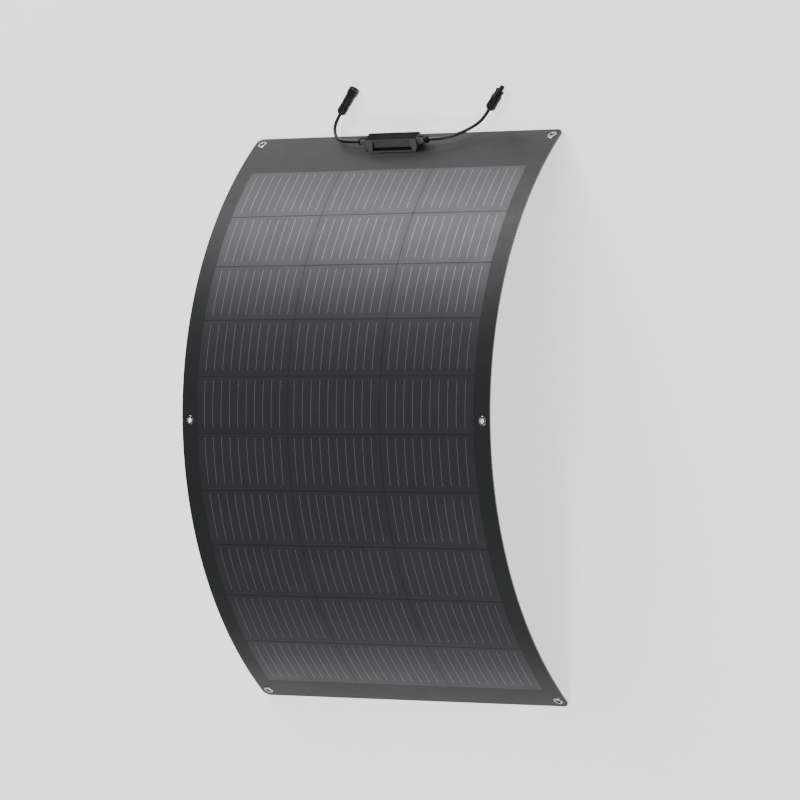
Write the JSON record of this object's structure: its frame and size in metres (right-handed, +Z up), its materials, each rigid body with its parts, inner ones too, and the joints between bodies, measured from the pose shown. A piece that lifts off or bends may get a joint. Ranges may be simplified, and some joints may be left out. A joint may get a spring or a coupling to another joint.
{
  "type": "flexible solar sheet",
  "caption": "Thin bowed solar laminate with dark half-cut cells in columns, metal eyelets, a slim junction box at one short end and two short leads with latching connectors.",
  "frame": {"origin": "on the floor under the middle of the arched sheet and its junction box", "axes": "+Z up, +Y along the sheet toward the junction box end, +X across the width"},
  "size_m": [0.612, 1.0088, 0.2192],
  "materials": {
    "back_sheet": "matt black film",
    "board": "resin and glass cloth, dark",
    "encapsulant": "clear soft resin",
    "cell": "near-black silicon",
    "ribbon": "tinned copper",
    "tape": "black tape",
    "front_film": "embossed film over black cells",
    "eyelet": "nickel plated",
    "washer": "plated",
    "pad": "foam adhesive",
    "box_plastic": "satin moulded plastic",
    "diode": "moulded",
    "copper": "stranded copper",
    "cable_jacket": "satin jacket",
    "potting": "cured silicone",
    "gland": "satin",
    "connector_plastic": "satin moulded plastic",
    "seal": "satin",
    "contact": "tinned copper"
  },
  "bodies": {
    "panel": {"back_sheet": "back_sheet", "glass_fibre_board": "board", "rear_encapsulant": "encapsulant", "front_encapsulant": "encapsulant", "solar_cells_left": "cell", "solar_cells_middle": "cell", "solar_cells_right": "cell", "cell_ribbons": "ribbon", "string_bus_bars": "ribbon", "bus_cover_tape": "tape", "output_leads": "ribbon", "front_film": "front_film", "grommet_eyelets": "eyelet", "grommet_washers": "washer", "box_adhesive_pad": "pad", "box_housing": "box_plastic", "box_base_plate": "box_plastic", "terminal_block": "box_plastic", "terminal_plates": "ribbon", "bypass_diode": "diode", "conductor_ends": "copper", "box_cable_ends": "cable_jacket", "box_potting": "potting", "cable_gland_left": "gland", "cable_gland_right": "gland", "cable_left": "cable_jacket", "cable_right": "cable_jacket", "socket_cable_seal": "seal", "plug_cable_seal": "seal", "socket_cable_end": "cable_jacket", "plug_cable_end": "cable_jacket", "socket_housing": "connector_plastic", "plug_housing": "connector_plastic", "socket_contact_pin": "contact", "plug_contact_tube": "contact", "plug_nose_ring": "seal"},
    "socket_collet": {"socket_clamp_collet": "connector_plastic"},
    "socket_nut": {"socket_gland_nut": "connector_plastic"},
    "plug_collet": {"plug_clamp_collet": "connector_plastic"},
    "plug_nut": {"plug_gland_nut": "connector_plastic"},
    "left_latch": {"latch_finger_left": "connector_plastic"},
    "right_latch": {"latch_finger_right": "connector_plastic"}
  },
  "joints": [
    {"name": "socket_collet_slide", "type": "slide", "parent": "panel", "child": "socket_collet", "axis": [-0.6, -0.8, 0], "range_m": [0, 0.003]},
    {"name": "socket_nut_turn", "type": "hinge", "parent": "socket_collet", "child": "socket_nut", "pos_m": [-0.132, 0.4997, 0.0086], "axis": [-0.6, -0.8, 0], "range_deg": [0, 720]},
    {"name": "plug_collet_slide", "type": "slide", "parent": "panel", "child": "plug_collet", "axis": [-0.6, -0.8, 0], "range_m": [0, 0.003]},
    {"name": "plug_nut_turn", "type": "hinge", "parent": "plug_collet", "child": "plug_nut", "pos_m": [0.166, 0.4977, 0.0086], "axis": [-0.6, -0.8, 0], "range_deg": [0, 720]},
    {"name": "right_latch_flex", "type": "hinge", "parent": "panel", "child": "right_latch", "pos_m": [0.1858, 0.5141, 0.0086], "axis": [0, 0, 1], "range_deg": [0, 6], "stiffness_Nm_per_rad": 0.02},
    {"name": "left_latch_flex", "type": "hinge", "parent": "panel", "child": "left_latch", "pos_m": [0.1762, 0.5213, 0.0086], "axis": [0, 0, -1], "range_deg": [0, 6], "stiffness_Nm_per_rad": 0.02}
  ],
  "couplings": [
    {"joint": "socket_nut_turn", "follows": "socket_collet_slide", "rad_per_m": 4188.8},
    {"joint": "plug_nut_turn", "follows": "plug_collet_slide", "rad_per_m": 4188.8}
  ]
}
